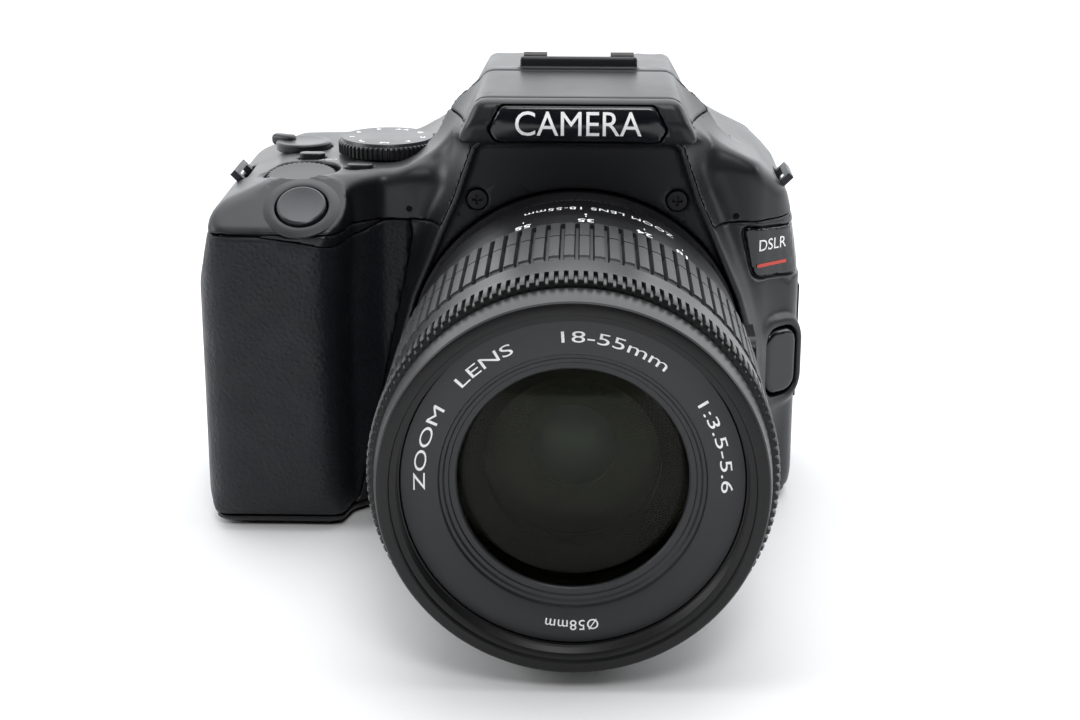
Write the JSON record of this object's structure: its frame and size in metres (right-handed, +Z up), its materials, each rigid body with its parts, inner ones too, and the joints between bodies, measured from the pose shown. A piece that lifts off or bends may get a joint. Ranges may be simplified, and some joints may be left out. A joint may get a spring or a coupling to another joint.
{
  "type": "dslr camera",
  "caption": "Compact single-lens reflex camera with a zoom lens fitted, pop-up flash, hot shoe, swing-out screen and hand grip.",
  "frame": {"origin": "mouth of the tripod socket in the middle of the base, under the lens axis", "axes": "-Y is the way the lens points, +Z is up, the grip is at -X and the screen hinge at +X"},
  "size_m": [0.1224, 0.1383, 0.0926],
  "materials": {
    "shell": "fine textured black plastic",
    "grip_rubber": "leather-grained rubber",
    "trim": "smooth dark plastic",
    "control": "satin black plastic",
    "lens_plastic": "satin black plastic",
    "lens_rubber": "ribbed rubber",
    "mount_metal": "satin steel",
    "screw_steel": "blackened steel",
    "optical_glass": "coated glass",
    "screen_glass": "hard glossy cover",
    "mirror": "front-silvered mirror",
    "inner_black": "anti-reflection black",
    "circuit": "coated circuit board"
  },
  "bodies": {
    "body": {"front_cover": "shell", "top_cover": "shell", "rear_cover": "shell", "bottom_cover": "shell", "grip_rubber": "grip_rubber", "name_plate": "trim", "badge_plate": "trim", "body_mount_ring": "mount_metal", "cross_head_screws": "screw_steel", "strap_lugs": "mount_metal", "hot_shoe": "mount_metal", "eyecup": "grip_rubber", "eyepiece_lens": "optical_glass", "battery": "inner_black", "tripod_bush": "mount_metal", "mirror_box": "inner_black", "pentamirror": "inner_black", "shutter_unit": "inner_black", "image_sensor": "circuit", "main_board": "circuit", "lens_bayonet": "mount_metal", "fixed_barrel": "lens_plastic"},
    "flash": {"flash_head": "shell", "flash_window": "optical_glass"},
    "screen": {"screen_hinge": "shell", "screen_case": "shell", "screen_glass": "screen_glass"},
    "zoom": {"zoom_ring": "lens_plastic", "zoom_rubber": "lens_rubber"},
    "front_group": {"inner_barrel": "lens_plastic", "name_ring": "lens_plastic", "front_element": "optical_glass", "middle_element": "optical_glass", "iris": "screw_steel"},
    "shutter_button": {"shutter_button": "control"},
    "main_dial": {"main_dial": "control"},
    "mode_dial": {"mode_dial": "control"},
    "power_switch": {"power_switch": "control"},
    "iso_button": {"iso_button": "control"},
    "display_button": {"display_button": "control"},
    "menu_button": {"menu_button": "control"},
    "info_button": {"info_button": "control"},
    "live_view_button": {"live_view_button": "control"},
    "ae_lock_button": {"ae_lock_button": "control"},
    "af_point_button": {"af_point_button": "control"},
    "exposure_button": {"exposure_button": "control"},
    "playback_button": {"playback_button": "control"},
    "cross_pad": {"cross_pad": "control"},
    "set_button": {"set_button": "control"},
    "diopter_knob": {"diopter_knob": "control"},
    "audio_port_cover": {"audio_port_cover": "grip_rubber"},
    "data_port_cover": {"data_port_cover": "grip_rubber"},
    "battery_door": {"battery_door": "shell"},
    "door_latch": {"door_latch": "shell"},
    "release_button": {"release_button": "trim"},
    "lock_pin": {"lock_pin": "mount_metal"},
    "reflex_mirror": {"reflex_mirror": "mirror"},
    "focus_ring": {"focus_ring": "lens_plastic"},
    "focus_switch": {"focus_switch": "control"},
    "stabiliser_switch": {"stabiliser_switch": "control"}
  },
  "joints": [
    {"name": "flash_lift", "type": "hinge", "parent": "body", "child": "flash", "pos_m": [0, -0.011, 0.0884], "axis": [-1, 0, 0], "range_deg": [0, 65]},
    {"name": "shutter_press", "type": "slide", "parent": "body", "child": "shutter_button", "axis": [0, 0.585, -0.8111], "range_m": [0, 0.0015], "stiffness_N_per_m": 400, "springref_m": -0.0004},
    {"name": "main_dial_turn", "type": "hinge", "parent": "body", "child": "main_dial", "pos_m": [-0.0552, -0.017, 0.0669], "axis": [0, -0.1736, 0.9848], "continuous": true},
    {"name": "mode_dial_turn", "type": "hinge", "parent": "body", "child": "mode_dial", "pos_m": [-0.0394, -0.002, 0.071], "axis": [0, 0, 1], "continuous": true},
    {"name": "power_turn", "type": "hinge", "parent": "body", "child": "power_switch", "pos_m": [-0.058, 0.005, 0.0699], "axis": [0, 0, 1], "range_deg": [0, 50]},
    {"name": "iso_press", "type": "slide", "parent": "body", "child": "iso_button", "axis": [0, 0, -1], "range_m": [0, 0.0008], "stiffness_N_per_m": 400, "springref_m": -0.0004},
    {"name": "display_press", "type": "slide", "parent": "body", "child": "display_button", "axis": [0, 0, -1], "range_m": [0, 0.0008], "stiffness_N_per_m": 400, "springref_m": -0.0004},
    {"name": "menu_press", "type": "slide", "parent": "body", "child": "menu_button", "axis": [0, -1, 0], "range_m": [0, 0.0008], "stiffness_N_per_m": 400, "springref_m": -0.0004},
    {"name": "info_press", "type": "slide", "parent": "body", "child": "info_button", "axis": [0, -1, 0], "range_m": [0, 0.0008], "stiffness_N_per_m": 400, "springref_m": -0.0004},
    {"name": "live_view_press", "type": "slide", "parent": "body", "child": "live_view_button", "axis": [0, -1, 0], "range_m": [0, 0.0008], "stiffness_N_per_m": 400, "springref_m": -0.0004},
    {"name": "ae_lock_press", "type": "slide", "parent": "body", "child": "ae_lock_button", "axis": [0, -1, 0], "range_m": [0, 0.0008], "stiffness_N_per_m": 400, "springref_m": -0.0004},
    {"name": "af_point_press", "type": "slide", "parent": "body", "child": "af_point_button", "axis": [0, -1, 0], "range_m": [0, 0.0008], "stiffness_N_per_m": 400, "springref_m": -0.0004},
    {"name": "exposure_press", "type": "slide", "parent": "body", "child": "exposure_button", "axis": [0, -1, 0], "range_m": [0, 0.0008], "stiffness_N_per_m": 400, "springref_m": -0.0004},
    {"name": "playback_press", "type": "slide", "parent": "body", "child": "playback_button", "axis": [0, -1, 0], "range_m": [0, 0.0008], "stiffness_N_per_m": 400, "springref_m": -0.0004},
    {"name": "set_press", "type": "slide", "parent": "body", "child": "set_button", "axis": [0, -1, 0], "range_m": [0, 0.0008], "stiffness_N_per_m": 400, "springref_m": -0.0004},
    {"name": "pad_rock", "type": "hinge", "parent": "body", "child": "cross_pad", "pos_m": [-0.042, 0.0235, 0.032], "axis": [1, 0, 0], "range_deg": [-2.5, 2.5], "stiffness_Nm_per_rad": 0.05},
    {"name": "diopter_turn", "type": "hinge", "parent": "body", "child": "diopter_knob", "pos_m": [-0.0204, 0.023, 0.078], "axis": [0, 1, 0], "range_deg": [-120, 120]},
    {"name": "screen_swing", "type": "hinge", "parent": "body", "child": "screen", "pos_m": [0.0432, 0.0234, 0.0345], "axis": [0, 0, -1], "range_deg": [0, 175]},
    {"name": "audio_cover_open", "type": "hinge", "parent": "body", "child": "audio_port_cover", "pos_m": [0.0463, -0.0076, 0.0325], "axis": [0, 0, -1], "range_deg": [0, 110]},
    {"name": "data_cover_open", "type": "hinge", "parent": "body", "child": "data_port_cover", "pos_m": [-0.0759, -0.0036, 0.0315], "axis": [0, 0, 1], "range_deg": [0, 110]},
    {"name": "battery_door_open", "type": "hinge", "parent": "body", "child": "battery_door", "pos_m": [-0.0508, -0.013, 0], "axis": [0, -1, 0], "range_deg": [0, 100]},
    {"name": "door_latch_slide", "type": "slide", "parent": "battery_door", "child": "door_latch", "axis": [1, 0, 0], "range_m": [0, 0.003]},
    {"name": "release_press", "type": "slide", "parent": "body", "child": "release_button", "axis": [-0.6331, 0.7741, 0], "range_m": [0, 0.002], "stiffness_N_per_m": 400, "springref_m": -0.0004},
    {"name": "pin_retract", "type": "slide", "parent": "body", "child": "lock_pin", "axis": [0, 1, 0], "range_m": [0, 0.0016]},
    {"name": "mirror_flip", "type": "hinge", "parent": "body", "child": "reflex_mirror", "pos_m": [0, 0.0062, 0.056], "axis": [-1, 0, 0], "range_deg": [0, 44], "stiffness_Nm_per_rad": 0.004, "springref_deg": -11.46},
    {"name": "zoom_turn", "type": "hinge", "parent": "body", "child": "zoom", "pos_m": [0, -0.068, 0.036], "axis": [0, 1, 0], "range_deg": [0, 34]},
    {"name": "barrel_extend", "type": "slide", "parent": "body", "child": "front_group", "axis": [0, -1, 0], "range_m": [0, 0.014]},
    {"name": "focus_turn", "type": "hinge", "parent": "front_group", "child": "focus_ring", "pos_m": [0, -0.096, 0.036], "axis": [0, 1, 0], "continuous": true},
    {"name": "focus_switch_slide", "type": "slide", "parent": "body", "child": "focus_switch", "axis": [0, 0, 1], "range_m": [0, 0.0026]},
    {"name": "stabiliser_switch_slide", "type": "slide", "parent": "body", "child": "stabiliser_switch", "axis": [0, 0, 1], "range_m": [0, 0.0026]}
  ],
  "couplings": [
    {"joint": "pin_retract", "follows": "release_press", "ratio": 0.8},
    {"joint": "barrel_extend", "follows": "zoom_turn", "m_per_rad": 0.023424}
  ]
}
